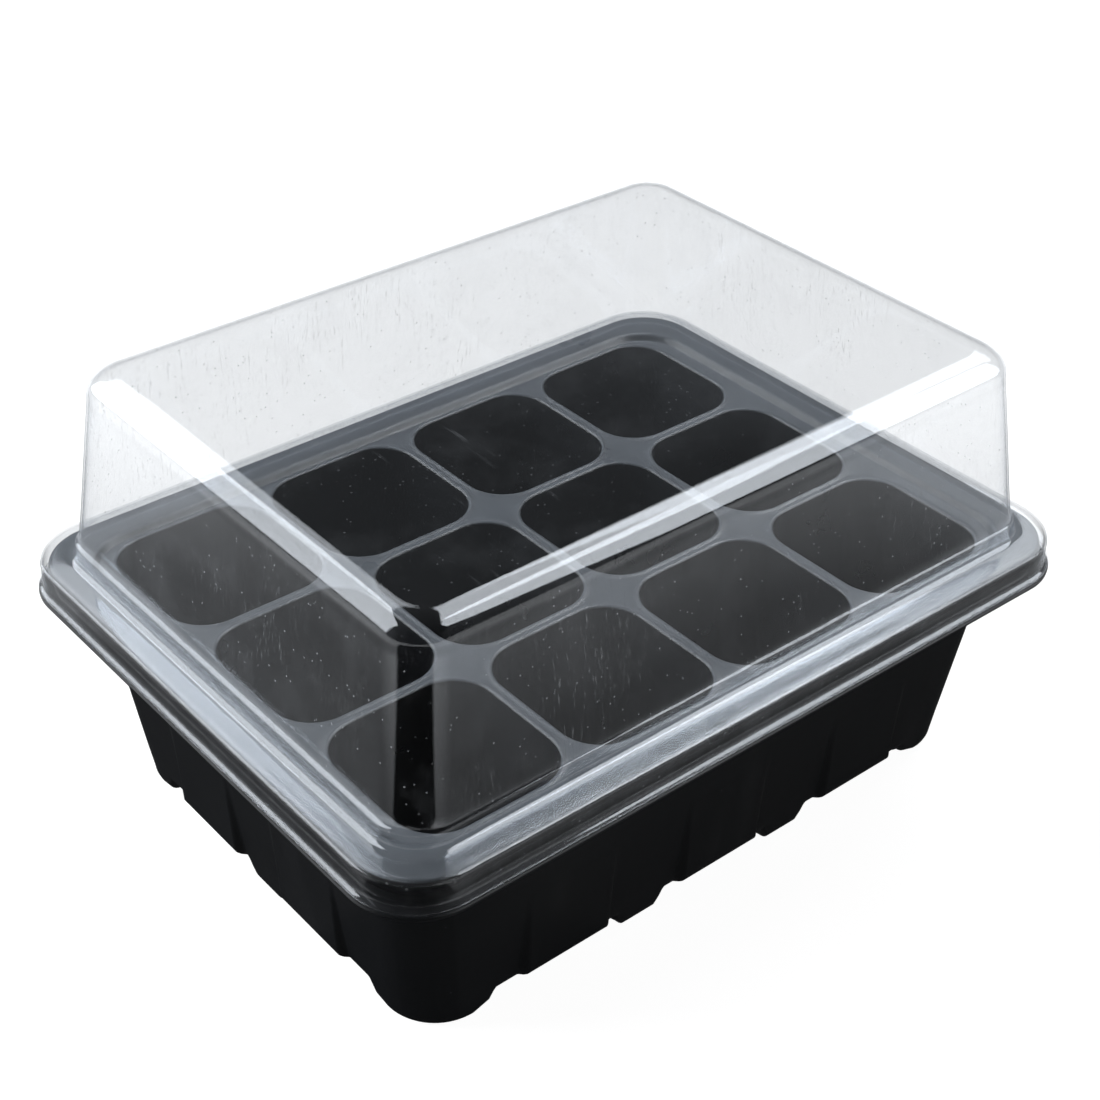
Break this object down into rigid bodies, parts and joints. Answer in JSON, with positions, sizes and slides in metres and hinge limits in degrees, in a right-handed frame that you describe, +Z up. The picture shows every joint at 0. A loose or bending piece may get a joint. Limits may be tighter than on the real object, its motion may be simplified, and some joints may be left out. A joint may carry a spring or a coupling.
{
  "type": "humidity dome tray",
  "caption": "Seed propagator: footed black water tray, nested cell insert with tapered planting cups, and a clear lift-off humidity dome.",
  "frame": {"origin": "centre of the footprint on the surface that the feet stand on", "axes": "+Z up, +X along the long side, +Y along the short side"},
  "size_m": [0.1864, 0.1428, 0.1038],
  "materials": {
    "black_tray": "satin",
    "black_insert": "satin",
    "clear_dome": "clear gloss"
  },
  "bodies": {
    "base_tray": {"base_tray": "black_tray"},
    "cell_insert": {"insert_deck": "black_insert", "cell_cup_r1c1": "black_insert", "cell_cup_r1c2": "black_insert", "cell_cup_r1c3": "black_insert", "cell_cup_r1c4": "black_insert", "cell_cup_r2c1": "black_insert", "cell_cup_r2c2": "black_insert", "cell_cup_r2c3": "black_insert", "cell_cup_r2c4": "black_insert", "cell_cup_r3c1": "black_insert", "cell_cup_r3c2": "black_insert", "cell_cup_r3c3": "black_insert", "cell_cup_r3c4": "black_insert"},
    "dome_lid": {"dome_lid": "clear_dome"}
  },
  "joints": [
    {"name": "insert_lift", "type": "slide", "parent": "base_tray", "child": "cell_insert", "axis": [0, 0, 1], "range_m": [0, 0.08]},
    {"name": "dome_lift", "type": "slide", "parent": "cell_insert", "child": "dome_lid", "axis": [0, 0, 1], "range_m": [0, 0.1]}
  ]
}
